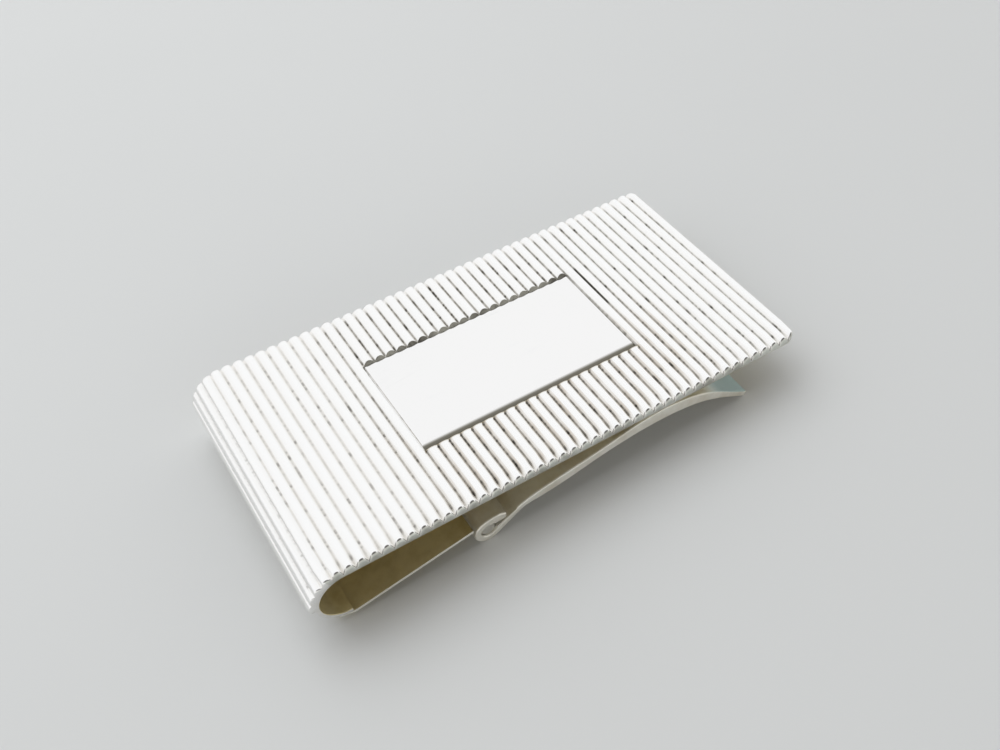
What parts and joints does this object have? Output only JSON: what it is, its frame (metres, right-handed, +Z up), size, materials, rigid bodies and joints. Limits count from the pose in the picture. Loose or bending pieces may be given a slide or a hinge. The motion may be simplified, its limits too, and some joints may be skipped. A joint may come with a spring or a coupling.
{
  "type": "money clip",
  "caption": "Hinged money clip: a ribbed silver front plate bent over into a soldered back leaf, with a spring arm hinged on a pin that presses folded notes against the plate.",
  "frame": {"origin": "bottom centre of the bounding box, with the clip lying on its hinge barrel and the lip of its arm", "axes": "+X along the plate from the bend to the free end, +Y across the width along the ribs, +Z up through the ribbed front"},
  "size_m": [0.0509, 0.0254, 0.0072],
  "materials": {
    "ribbed_silver": "polished sterling silver with tarnish in the valleys",
    "panel_silver": "polished sterling silver with fine wear scratches",
    "leaf_silver": "polished sterling silver, lightly toned",
    "pin_silver": "drawn silver wire, satin",
    "arm_silver": "polished sterling silver, lightly toned"
  },
  "bodies": {
    "clip": {"ribbed_plate": "ribbed_silver", "monogram_panel": "panel_silver", "back_leaf": "leaf_silver", "hinge_pin": "pin_silver"},
    "arm": {"spring_arm": "arm_silver"}
  },
  "joints": [
    {"name": "arm_hinge", "type": "hinge", "parent": "clip", "child": "arm", "pos_m": [-0.00883, 0, 0.00141], "axis": [0, 1, 0], "range_deg": [0, 180]}
  ]
}
